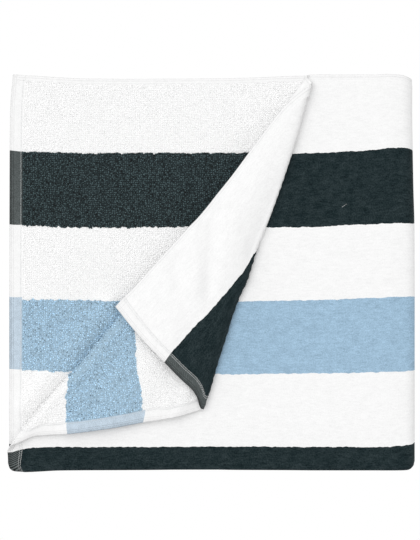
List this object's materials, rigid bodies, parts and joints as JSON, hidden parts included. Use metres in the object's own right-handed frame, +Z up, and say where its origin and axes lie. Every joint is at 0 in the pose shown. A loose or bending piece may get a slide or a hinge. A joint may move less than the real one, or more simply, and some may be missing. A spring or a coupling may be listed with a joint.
{
  "type": "beach towel",
  "caption": "Folded cotton beach towel in wide stripes, with one corner of its top layer turned back in a pleat that shows the looped inner face.",
  "frame": {"origin": "under the middle of the folded towel, on the surface that it lies on", "axes": "+X along the stripes, from the hems to the folds that close the stack; +Y from the lengthwise fold to the selvedges; +Z up"},
  "size_m": [0.4631, 0.45, 0.0496],
  "materials": {
    "cloth": "sheared cotton pile on one face and loops on the other, in white, charcoal and pale blue stripes"
  },
  "bodies": {
    "root": {"towel": "cloth"}
  },
  "joints": []
}
